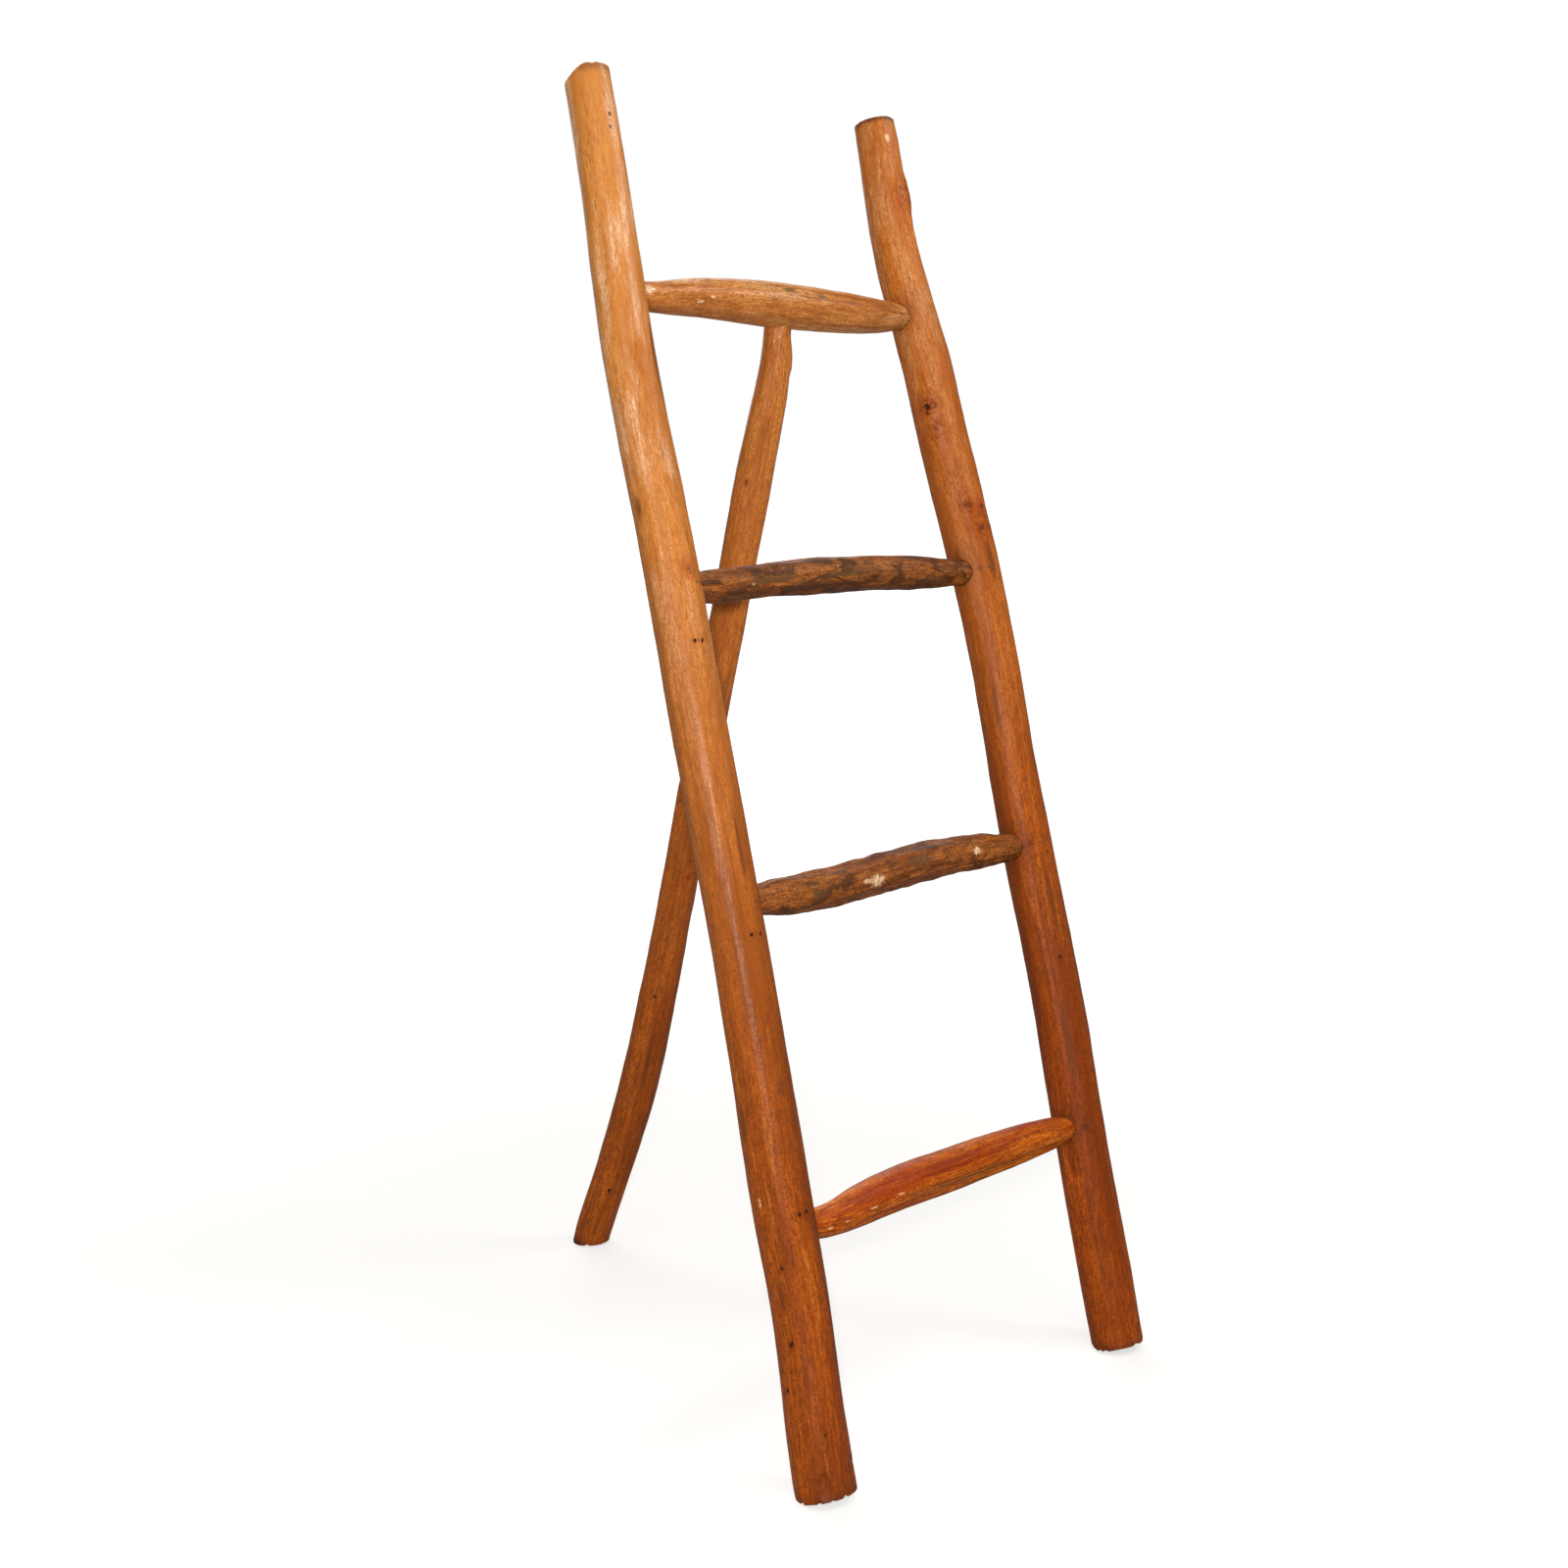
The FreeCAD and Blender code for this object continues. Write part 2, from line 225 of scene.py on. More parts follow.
def log_shape(log, s, turn, radius, spine):
    """The radius of a natural log, given its CAD radius: lobes, lumps, flats, knots and scars.

    Sizes in a log's lists are mm, except distances along the log, which are metres; angles are degrees.
    """
    seed = log["seed"]
    full = radius
    around = np.column_stack([np.cos(turn), np.sin(turn)])
    wave = lattice_noise(np.column_stack([s * 2.3, np.full_like(s, seed * 0.37), np.zeros_like(s)]), seed)
    r = radius * (1 + LOBE * np.cos(2 * turn + 3 * wave + seed)
                  + LOBE * 0.7 * np.cos(3 * turn - 4 * wave + 2 * seed))
    broad = fractal_noise(np.column_stack([around * 1.1, s * log.get("lump_rate", 9)]), seed + 10)
    r = r + log.get("lump", 0.9) * MM * broad
    ridges = fractal_noise(np.column_stack([around * 5.0, s * 7]), seed + 20, 3)
    r = r + log.get("ridge", 0.28) * MM * ridges
    hewn = fractal_noise(np.column_stack([around * 7.0, s * 34]), seed + 30, 3)
    r = r + log.get("hewn", 0.1) * MM * hewn
    for angle, middle, half, depth in log.get("flats", ()):
        turn_off = wrapped(turn - math.radians(angle) - 0.08 * wave)
        fall = np.clip(1 - ((s - middle) / half) ** 2, 0, 1)
        plane = (radius - depth * MM * fall) / np.maximum(np.cos(turn_off), 0.2)
        cut = np.where((np.abs(turn_off) < 1.2) & (fall > 0), plane, np.inf)
        r = soft_least(r, cut, log.get("blend", 2.2) * MM)
    for at, angle, size, height, pit in log.get("knots", ()):
        u, v = offsets(s, turn, radius, at, angle, size, size)
        wobble = 1 + 0.25 * lattice_noise(np.column_stack([u, v, np.full_like(u, seed)]), seed + 40)
        far = np.hypot(u, v * 0.8) * wobble
        r = r + height * MM * np.exp(-(far / 1.6) ** 2) - pit * MM * np.exp(-(far / 0.45) ** 2)
    for at, angle, long, wide, depth in log.get("dents", ()):
        u, v = offsets(s, turn, radius, at, angle, wide, long)
        rough = 1 + 0.35 * fractal_noise(np.column_stack([u * 2, v * 2, np.full_like(u, seed)]), seed + 50, 2)
        r = r - depth * MM * smooth_step(1.15, 0.55, np.hypot(u, v) * rough) * rough
    if log.get("calm"):
        tip = np.minimum(s - spine.low, spine.high - s)
        r = full + (r - full) * smooth_step(26 * MM, 60 * MM, tip)
    return r


def soft_least(a, b, blend):
    """The smaller of two lengths, with the corner between them rounded off."""
    b = np.where(np.isfinite(b), b, a + blend)
    part = np.clip(0.5 + 0.5 * (b - a) / blend, 0, 1)
    return b * (1 - part) + a * part - blend / 2 * part * (1 - part)


def end_profile(rounding):
    """Rings from the middle of a sawn end out to its edge: inset along the log and share of the radius."""
    rings = [(0.0, (k + 0.35) / CAP_RINGS * (1 - rounding)) for k in range(CAP_RINGS)]
    for turn in (0, 30, 60):
        lean = math.radians(turn)
        rings.append((rounding * (1 - math.cos(lean)), 1 - rounding + rounding * math.sin(lean)))
    return rings


def build_log(name, spine, log):
    """A closed mesh about the spine: two sawn ends and the side between them."""
    low, high = spine.low, spine.high
    sides = log.get("sides", 128)
    rings = int((high - low) / log.get("pitch", 2.4 * MM))
    foot, head = end_profile(log.get("foot_round", 0.07)), end_profile(log.get("head_round", 0.05))
    size = spine.at(np.array([low, high]))[2]
    profile = [(low + inset * size[0], share, 1.0) for inset, share in foot]
    start, stop = profile[-1][0], high - head[-1][0] * size[1]
    profile += [(s, 1.0, 0.0) for s in np.linspace(start, stop, rings)[1:-1]]
    profile += [(high - inset * size[1], share, 1.0) for inset, share in reversed(head)]
    profile = np.array(profile)
    turn = np.arange(sides) * 2 * math.pi / sides
    s, angle = (grid.ravel() for grid in np.meshgrid(profile[:, 0], turn, indexing="ij"))
    share = np.repeat(profile[:, 1], sides)
    end = np.repeat(profile[:, 2], sides) * (share < 0.97)
    cx, cy, radius = spine.at(s)
    r = log_shape(log, s, angle, radius, spine) * share
    x, y = r * np.cos(angle), r * np.sin(angle)
    top = np.repeat(profile[:, 0] > (low + high) / 2, sides)
    saw = fractal_noise(np.column_stack([x * 160, y * 160, np.where(top, 5.0, 1.0)]), log["seed"] + 60, 3)
    s = s + np.where(top, -1, 1) * end * (0.25 + 0.35 * saw) * MM
    s = log["trim"](s, x + cx, y + cy, spine) if "trim" in log else s
    points = spine.point(s, x + cx, y + cy)
    count = len(profile)
    first = np.arange((count - 1) * sides).reshape(count - 1, sides)
    right = np.roll(first, -1, axis=1)
    quads = np.stack([first, right, right + sides, first + sides], -1).reshape(-1, 4)
    caps = [tuple(range(sides))[::-1], tuple(range((count - 1) * sides, count * sides))]
    return new_piece(name, points.tolist(), quads.tolist() + caps)


def bore_holes(piece, cutters):
    """Cuts the mortises: each cutter is (inner end, direction, length, radius)."""
    sides = 72
    turn = np.arange(sides) * 2 * math.pi / sides
    points, faces = [], []
    for number, (inner, out, length, radius) in enumerate(cutters):
        across = out.orthogonal().normalized()
        other = out.cross(across)
        ring = [np.cos(turn) * 2, np.sin(turn) * 2, np.full_like(turn, number * 3.1)]
        uneven = lattice_noise(np.column_stack(ring), 7)
        base = len(points)
        for reach in (0.0, length):
            for angle, bump in zip(turn, uneven):
                wide = radius + 0.3 * MM * bump
                arm = across * math.cos(angle) + other * math.sin(angle)
                points.append(inner + out * reach + arm * wide)
        faces += [[base + k, base + (k + 1) % sides, base + sides + (k + 1) % sides, base + sides + k]
                  for k in range(sides)]
        faces += [[base + k for k in range(sides)][::-1], [base + sides + k for k in range(sides)]]
    cutter = new_piece("cutter", points, faces)
    change = piece.modifiers.new("mortises", "BOOLEAN")
    change.operation, change.object, change.solver = "DIFFERENCE", cutter, "EXACT"
    bpy.context.view_layer.update()
    cut = bpy.data.meshes.new_from_object(piece.evaluated_get(bpy.context.evaluated_depsgraph_get()))
    piece.modifiers.remove(change)
    old, piece.data = piece.data, cut
    bpy.data.meshes.remove(old)
    bpy.data.objects.remove(cutter)
    cut.name = piece.name


def nearest_mark(s, turn, radius, marks, reach):
    """For each vertex, the offset to its nearest mark, in the mark's own sizes, or FAR_OFF out of reach."""
    best = np.full((len(s), 3), FAR_OFF)
    near = np.full(len(s), reach)
    for at, angle, long, wide, *strength in marks:
        u, v = offsets(s, turn, radius, at, angle, wide, long)
        far = np.hypot(u, v)
        hit = far < near
        best[hit] = np.column_stack([u, v, far * 0 + (strength[0] if strength else 0)])[hit]
        near[hit] = far[hit]
    return best


def paint_log(piece, spine, log):
    """Stores what the wood material reads: straightened log coordinates, marks, grime mixed with painted
    shade, and sawn ends.
    """
    mesh = piece.data
    points = np.empty(len(mesh.vertices) * 3)
    mesh.vertices.foreach_get("co", points)
    s, x, y = spine.local(points.reshape(-1, 3))
    turn = np.arctan2(y, x)
    radius = spine.at(s)[2]
    flow = np.zeros_like(s)
    for at, angle, size, *_ in log.get("knots", ()):
        u, v = offsets(s, turn, radius, at, angle, size * 1.5, size * 2.6)
        swerve = np.sign(u) * np.exp(-v ** 2 - u ** 2 * 0.6) * (1 - np.exp(-(u * 2) ** 2))
        flow += swerve * 0.9 * size * MM / radius
    bent = turn - flow
    length = np.hypot(x, y)
    grain = np.column_stack([length * np.cos(bent), length * np.sin(bent), s + log["seed"] * 3.7])
    write(mesh, "grain", "FLOAT_VECTOR", grain)
    knots = [(at, angle, size * 1.15, size, pit) for at, angle, size, _, pit in log.get("knots", ())]
    write(mesh, "knot", "FLOAT_VECTOR", nearest_mark(s, turn, radius, knots, 3.2))
    pins = [(at, angle, size * 1.2, size) for at, angle, size in log.get("pins", ())]
    write(mesh, "pin", "FLOAT_VECTOR", nearest_mark(s, turn, radius, pins, 3.0))
    write(mesh, "scrape", "FLOAT_VECTOR", nearest_mark(s, turn, radius, log.get("scrapes", ()), 2.2))
    write(mesh, "stain", "FLOAT_VECTOR", nearest_mark(s, turn, radius, log.get("stains", ()), 2.5))
    grime_and_shade = np.zeros_like(s)
    for at, angle, spread, strength in log.get("grime_and_shade", ()):
        u = wrapped(turn - math.radians(angle)) * radius
        grime_and_shade = np.maximum(grime_and_shade, strength * np.exp(-(np.hypot(s - at, u) / spread) ** 2))
    for at, spread, strength in log.get("bands", ()):
        grime_and_shade = np.maximum(grime_and_shade, strength * np.exp(-((s - at) / spread) ** 2))
    # Painted shade in hollows: darker where the surface lies well inside the log's radius, as in the mortises
    # and deep dents.
    grime_and_shade = np.maximum(grime_and_shade, 0.8 * smooth_step(0.93, 0.8, length / radius))
    write(mesh, "grime_and_shade", "FLOAT", grime_and_shade)
    inner = smooth_step(0.985, 0.95, length / radius)
    edge = np.minimum(np.abs(s - spine.low), np.abs(s - spine.high)) < END_REACH
    write(mesh, "sawn", "FLOAT", inner * edge)
    mesh.shade_smooth()
    mesh.set_sharp_from_angle(angle=math.radians(50))


def write(mesh, name, kind, values):
    """Stores one value or vector per vertex, for the materials to read."""
    layer = mesh.attributes.new(name, kind, "POINT")
    key = "vector" if kind == "FLOAT_VECTOR" else "value"
    layer.data.foreach_set(key, np.asarray(values, float).ravel())


# ---------------------------------------------------------------- materials

class Graph:
    """A material being wired up, with short names for the nodes that it uses."""

    def __init__(self, name):
        self.material = bpy.data.materials.new(name)
        self.material.use_nodes = True
        self.tree = self.material.node_tree
        self.shader = self.tree.nodes["Principled BSDF"]

    def put(self, socket, value):
        if isinstance(value, bpy.types.NodeSocket):
            self.tree.links.new(value, socket)
        else:
            socket.default_value = value

    def attribute(self, name, output="Vector"):
        node = self.tree.nodes.new("ShaderNodeAttribute")
        node.attribute_name = name
        return node.outputs[output]

    def stretch(self, vector, factors):
        node = self.tree.nodes.new("ShaderNodeVectorMath")
        node.operation = "MULTIPLY"
        self.put(node.inputs[0], vector)
        node.inputs[1].default_value = factors
        return node.outputs[0]

    def shift(self, vector, other):
        node = self.tree.nodes.new("ShaderNodeVectorMath")
        node.operation = "ADD"
        self.put(node.inputs[0], vector)
        self.put(node.inputs[1], other)
        return node.outputs[0]

    def length(self, vector):
        node = self.tree.nodes.new("ShaderNodeVectorMath")
        node.operation = "LENGTH"
        self.put(node.inputs[0], vector)
        return node.outputs["Value"]

    def noise(self, vector, scale=1.0, detail=3.0, roughness=0.55, distortion=0.0, output="Fac"):
        node = self.tree.nodes.new("ShaderNodeTexNoise")
        self.put(node.inputs["Vector"], vector)
        node.inputs["Scale"].default_value = scale
        node.inputs["Detail"].default_value = detail
        node.inputs["Roughness"].default_value = roughness
        node.inputs["Distortion"].default_value = distortion
        return node.outputs[output]

    def cells(self, vector, scale=1.0):
        node = self.tree.nodes.new("ShaderNodeTexVoronoi")
        self.put(node.inputs["Vector"], vector)
        node.inputs["Scale"].default_value = scale
        return node.outputs["Distance"]

    def math(self, operation, first, second=0.0, clamp=False):
        node = self.tree.nodes.new("ShaderNodeMath")
        node.operation = operation
        node.use_clamp = clamp
        self.put(node.inputs[0], first)
        self.put(node.inputs[1], second)
        return node.outputs[0]

    def span(self, value, low, high, start=0.0, stop=1.0):
        """Maps low..high smoothly to start..stop."""
        node = self.tree.nodes.new("ShaderNodeMapRange")
        node.interpolation_type = "SMOOTHSTEP"
        for socket, number in zip(node.inputs, (value, low, high, start, stop)):
            self.put(socket, number)
        return node.outputs[0]

    def mix(self, factor, first, second, blend="MIX"):
        node = self.tree.nodes.new("ShaderNodeMix")
        node.data_type, node.blend_type = "RGBA", blend
        self.put(node.inputs[0], factor)
        self.put(node.inputs[6], first)
        self.put(node.inputs[7], second)
        return node.outputs[2]

    def split(self, vector, axis):
        node = self.tree.nodes.new("ShaderNodeSeparateXYZ")
        self.put(node.inputs[0], vector)
        return node.outputs[axis]

    def flat(self, vector):
        return self.stretch(vector, (1, 1, 0))

    def jitter(self, vector, wander, amount):
        """Moves the first two parts of a vector by a noise colour, up to half the amount either way."""
        centred = self.shift(wander, (-0.5, -0.5, -0.5))
        return self.flat(self.shift(vector, self.stretch(centred, (amount, amount, 0.0))))

    def weighted(self, *parts):
        """The sum of (value, weight) pairs."""
        total = self.math("MULTIPLY", *parts[0])
        for value, weight in parts[1:]:
            total = self.math("ADD", total, self.math("MULTIPLY", value, weight))
        return total

    def bump(self, height, distance):
        node = self.tree.nodes.new("ShaderNodeBump")
        node.inputs["Distance"].default_value = distance
        self.put(node.inputs["Height"], height)
        return node.outputs[0]


def rgb(red, green, blue):
    return (red, green, blue, 1.0)


PORE_BROWN = rgb(0.11, 0.025, 0.006)
KNOT_BROWN = rgb(0.085, 0.018, 0.005)
PIN_AND_SHADE_BLACK = rgb(0.03, 0.008, 0.003)
RAW_SCRAPE = rgb(0.86, 0.60, 0.36)
GREEN_GREY = rgb(0.090, 0.046, 0.018)
GRIME_AND_SHADE_BROWN = rgb(0.075, 0.018, 0.006)
SAWN_PALE = rgb(0.42, 0.20, 0.085)
SAWN_DARK = rgb(0.15, 0.045, 0.014)
END_RING_STEP = 1.6 * MM


def add_bark(g, look, grain, mottle, colour):
    """Patches of inner bark, and the dark veins that wind round them."""
    patch = g.noise(g.stretch(grain, (34, 34, 13)), detail=6, roughness=0.62, distortion=1.2)
    bark = g.math("MULTIPLY", g.span(patch, 0.51, 0.59), look["bark"])
    crust = g.mix(g.span(mottle, 0.38, 0.62), look["bark_dark"], look["bark_grey"])
    colour = g.mix(bark, colour, crust)
    for scale, level, half in ((1.0, 0.475, 0.010), (1.9, 0.50, 0.009), (3.2, 0.47, 0.010)):
        vein = g.noise(g.stretch(grain, (30 * scale, 30 * scale, 9 * scale)), detail=5, roughness=0.6,
                       distortion=1.6)
        off = g.math("ABSOLUTE", g.math("SUBTRACT", vein, level))
        colour = g.mix(g.span(off, half, 0.0, 0.0, 0.8), colour, look["bark_dark"])
    return colour, bark


def add_knots(g, look, grain, wander, colour):
    """Knots: broken arcs in a reddish halo, a brown heart, and painted shade, near black, in the hole where
    the knot is deep.
    """
    knot = g.attribute("knot")
    far = g.length(g.jitter(knot, wander, 2.4))
    depth = g.split(knot, 2)
    swirl = g.math("SINE", g.math("MULTIPLY", far, 9.0))
    halo = g.span(far, 2.6, 0.6)
    broken = g.span(g.noise(g.stretch(grain, (130, 130, 90)), detail=3), 0.46, 0.58)
    arcs = g.math("MULTIPLY", g.math("MULTIPLY", halo, g.span(swirl, 0.35, 1.0)), broken)
    colour = g.mix(g.math("MULTIPLY", halo, 0.55), colour, look["knot_halo"])
    colour = g.mix(g.math("MULTIPLY", arcs, 0.75), colour, KNOT_BROWN)
    heart = g.math("MULTIPLY", g.span(far, 0.75, 0.30), g.span(depth, 0.0, 1.0, 0.25, 0.85))
    colour = g.mix(heart, colour, KNOT_BROWN)
    # Painted shade: near black in the hole of a deep knot.
    hole = g.math("MULTIPLY", g.span(far, 0.40, 0.22), g.span(depth, 0.7, 1.5))
    return g.mix(hole, colour, PIN_AND_SHADE_BLACK), g.math("MULTIPLY", arcs, halo), hole


def wood(name, look):
    """Varnished branch wood: colours that change with height, partly as painted shade low down and a painted
    sheen high up, pores, figure, knots, scrapes, grime mixed with painted shade, and sawn ends.
    """
    g = Graph(name)
    grain = g.attribute("grain")
    rise = g.attribute("rise", "Fac")
    slow = g.noise(g.stretch(grain, (20, 20, 2.4)), detail=4, roughness=0.6)
    streak = g.noise(g.stretch(grain, (170, 170, 5.0)), detail=5, roughness=0.62)
    fine = g.noise(g.stretch(grain, (620, 620, 26)), detail=4, roughness=0.65)
    mottle = g.noise(g.stretch(grain, (75, 75, 26)), detail=4, roughness=0.6)

    # The broad colour, from the feet to the tops: the wood's own tone, with painted shade making it darker
    # towards the floor. High up, pale patches of painted sheen, a painted reflection; streaks along the
    # grain.
    low = g.mix(g.span(slow, 0.34, 0.66), look["low_dark"], look["low"])
    high = g.mix(g.span(slow, 0.30, 0.62), look["high_dark"], look["high"])
    upper = g.span(rise, look["rise"][0], look["rise"][1])
    colour = g.mix(upper, low, high)
    tone = g.mix(upper, look["streak_low"], look["streak_high"])
    # Painted sheen: pale patches on the upper parts, painted in as a broad reflection.
    sheen_patches = g.noise(g.stretch(grain, (34, 34, 7)), detail=4, roughness=0.6)
    painted_sheen = g.math("MULTIPLY", g.span(sheen_patches, 0.45, 0.64, 0.0, 0.75), g.span(rise, 0.45, 0.92))
    colour = g.mix(painted_sheen, colour, look["painted_sheen"])
    colour = g.mix(g.math("MULTIPLY", g.span(streak, 0.49, 0.66), look["streak"]), colour, tone)
    colour = g.mix(g.math("MULTIPLY", g.span(streak, 0.46, 0.26), 0.55), colour, look["pale"])
    colour = g.mix(g.math("MULTIPLY", g.span(mottle, 0.52, 0.74), look["mottle"]), colour, tone)

    # Growth rings, which show as figure on the sides and as circles on the sawn ends.
    warp = g.noise(g.stretch(grain, (28, 28, 9)), detail=3)
    ring_path = g.math("ADD", g.length(g.flat(grain)), g.math("MULTIPLY", warp, look["ring_warp"]))
    ring = g.math("SINE", g.math("MULTIPLY", ring_path, 2 * math.pi / look["ring_step"]))
    line = g.math("MULTIPLY", g.span(ring, 0.35, 1.0), g.span(slow, 0.62, 0.40, 0.15, 1.0))
    colour = g.mix(g.math("MULTIPLY", line, look["figure"]), colour, look["line_colour"])

    bark = None
    if look["bark"]:
        colour, bark = add_bark(g, look, grain, mottle, colour)

    # Open pores, and three sizes of fine dark texture.
    pore = g.cells(g.stretch(grain, (520, 520, 62)))
    where = g.span(g.noise(g.stretch(grain, (60, 60, 10)), detail=3), 0.42, 0.66)
    pores = g.math("MULTIPLY", g.span(pore, 0.40, 0.20), where)
    colour = g.mix(g.math("MULTIPLY", pores, look["pores"]), colour, PORE_BROWN)
    colour = g.mix(g.span(fine, 0.44, 0.62, 0.0, 0.50), colour, tone)
    hatch = g.noise(g.stretch(grain, (360, 360, 300)), detail=3, roughness=0.65, distortion=0.4)
    colour = g.mix(g.span(hatch, 0.44, 0.60, 0.0, 0.52), colour, tone)
    fleck = g.noise(g.stretch(grain, (240, 240, 70)), detail=3, roughness=0.6)
    colour = g.mix(g.span(fleck, 0.53, 0.64, 0.0, 0.55), colour, tone)

    wander = g.noise(g.stretch(grain, (260, 260, 120)), detail=4, output="Color")
    colour, arcs, hole = add_knots(g, look, grain, wander, colour)
    pin_far = g.length(g.jitter(g.attribute("pin"), wander, 1.5))
    colour = g.mix(g.span(pin_far, 2.4, 0.6, 0.0, 0.55), colour, tone)
    colour = g.mix(g.span(pin_far, 1.0, 0.55), colour, PIN_AND_SHADE_BLACK)

    # Scrapes down to raw wood, then stains, and grime mixed with painted shade in the corners and hollows.
    rough_edge = g.noise(g.stretch(grain, (900, 900, 260)), detail=4, roughness=0.7)
    scrape_far = g.math("ADD", g.length(g.flat(g.attribute("scrape"))),
                        g.span(rough_edge, 0.25, 0.75, -0.5, 0.5))
    comb = g.noise(g.stretch(grain, (120, 120, 700)), detail=2, roughness=0.6)
    rub = g.math("MULTIPLY", g.span(scrape_far, 1.0, 0.6), g.span(comb, 0.38, 0.56, 0.25, 1.0))
    colour = g.mix(g.math("MULTIPLY", rub, 0.8), colour, RAW_SCRAPE)
    stain_far = g.math("ADD", g.length(g.flat(g.attribute("stain"))), g.span(streak, 0.3, 0.7, -0.45, 0.45))
    blot = g.math("MULTIPLY", g.span(stain_far, 1.15, 0.35), 0.75)
    colour = g.mix(blot, colour, look["stain_colour"])
    shade_and_dirt = g.math("MULTIPLY", g.attribute("grime_and_shade", "Fac"), g.span(mottle, 0.25, 0.6, 0.55, 1.0), clamp=True)
    colour = g.mix(shade_and_dirt, colour, GRIME_AND_SHADE_BROWN)

    sawn = g.attribute("sawn", "Fac")
    end_ring = g.math("SINE", g.math("MULTIPLY", ring_path, 2 * math.pi / END_RING_STEP))
    end_tone = g.mix(g.span(end_ring, -0.6, 0.9), SAWN_PALE, SAWN_DARK)
    end_tone = g.mix(g.span(mottle, 0.35, 0.65, 0.0, 0.6), end_tone, look["low_dark"])
    g.put(g.shader.inputs["Base Color"], g.mix(sawn, colour, end_tone))

    # The varnish: duller where it is rubbed, sawn or porous, and with a thin shine from the middle up.
    gloss = g.noise(g.stretch(grain, (90, 90, 12)), detail=4)
    rough = g.span(gloss, 0.30, 0.72, look["gloss"][0], look["gloss"][1])
    rough = g.math("ADD", rough, g.math("MULTIPLY", g.math("MAXIMUM", rub, sawn), 0.28))
    rough = g.math("ADD", rough, g.math("MULTIPLY", pores, 0.15), clamp=True)
    g.put(g.shader.inputs["Roughness"], rough)
    g.shader.inputs["Specular IOR Level"].default_value = 0.08
    coat = g.span(rise, 0.18, 0.42, 0.2 * look["coat"], look["coat"])
    coat = g.math("ADD", coat, g.span(rise, 0.60, 0.82, 0.0, look["coat"]))
    g.put(g.shader.inputs["Coat Weight"], coat)
    g.shader.inputs["Coat Roughness"].default_value = look["coat_roughness"]

    relief = g.weighted((streak, 0.30), (fine, 0.16), (hatch, look["hatch"]), (mottle, 0.35), (pores, -0.12),
                        (hole, -0.8), (arcs, 0.25), (g.math("MULTIPLY", end_ring, sawn), 0.10))
    if bark is not None:
        relief = g.math("ADD", relief, g.math("MULTIPLY", bark, 0.25))
    normal = g.bump(relief, look["relief"] * MM)
    g.put(g.shader.inputs["Normal"], normal)
    g.put(g.shader.inputs["Coat Normal"], normal)
    return g.material


# A look's rise is the span of height, from 0 at the floor to 1 at the top, over which low turns into high.
# A look's low colours are darker partly as painted shade near the floor; its sheen colour is a painted
# reflection on the upper parts.
HONEY = dict(
    low_dark=rgb(0.23, 0.042, 0.003), low=rgb(0.45, 0.092, 0.006),
    high_dark=rgb(0.46, 0.145, 0.018), high=rgb(0.62, 0.275, 0.070),
    pale=rgb(0.56, 0.215, 0.038), painted_sheen=rgb(0.78, 0.54, 0.34), rise=(0.14, 1.04),
    streak=0.50, streak_low=rgb(0.115, 0.022, 0.003), streak_high=rgb(0.48, 0.155, 0.024), mottle=0.45,
    ring_warp=0.016, ring_step=0.0052, figure=0.22, line_colour=rgb(0.20, 0.040, 0.006),
    knot_halo=rgb(0.30, 0.052, 0.006), stain_colour=rgb(0.12, 0.030, 0.008), bark=0.0, pores=0.75,
    gloss=(0.36, 0.55), coat=0.11, coat_roughness=0.17, hatch=0.50, relief=1.0,
)
RED_HONEY = dict(
    HONEY, low_dark=rgb(0.22, 0.036, 0.003), low=rgb(0.44, 0.080, 0.005),
    high_dark=rgb(0.40, 0.095, 0.010), high=rgb(0.60, 0.205, 0.034), pale=rgb(0.54, 0.175, 0.027),
    painted_sheen=rgb(0.62, 0.30, 0.11), rise=(0.20, 1.0), streak_high=rgb(0.34, 0.078, 0.009), coat=0.025,
)
LIGHT_RUNG = dict(
    HONEY, low_dark=rgb(0.33, 0.046, 0.004), low=rgb(0.80, 0.225, 0.010), streak_low=rgb(0.15, 0.018, 0.003),
    high_dark=rgb(0.42, 0.140, 0.022), high=rgb(0.66, 0.290, 0.075), streak_high=rgb(0.25, 0.065, 0.010),
    figure=0.30, painted_sheen=rgb(0.70, 0.38, 0.15), stain_colour=GREEN_GREY, streak=0.75, pores=0.6,
)
DARK_RUNG = dict(
    HONEY, low_dark=rgb(0.20, 0.048, 0.007), low=rgb(0.42, 0.120, 0.018),
    high_dark=rgb(0.20, 0.054, 0.010), high=rgb(0.42, 0.135, 0.026), pale=rgb(0.46, 0.175, 0.040),
    painted_sheen=rgb(0.30, 0.120, 0.040), streak=0.6, streak_low=rgb(0.075, 0.020, 0.005),
    streak_high=rgb(0.060, 0.020, 0.006), mottle=0.55, figure=0.5, ring_warp=0.03,
    line_colour=rgb(0.050, 0.014, 0.004), bark=0.85, bark_dark=rgb(0.030, 0.010, 0.004),
    bark_grey=rgb(0.075, 0.032, 0.014), stain_colour=GREEN_GREY, gloss=(0.40, 0.62), coat=0.09, relief=1.6,
)
PROP = dict(
    HONEY, low_dark=rgb(0.30, 0.062, 0.006), low=rgb(0.52, 0.120, 0.012),
    high_dark=rgb(0.42, 0.115, 0.016), high=rgb(0.62, 0.215, 0.042), rise=(0.15, 0.85),
    painted_sheen=rgb(0.58, 0.24, 0.06), streak=0.55, streak_low=rgb(0.15, 0.032, 0.005),
    streak_high=rgb(0.30, 0.075, 0.010), pores=0.9, coat=0.07,
)


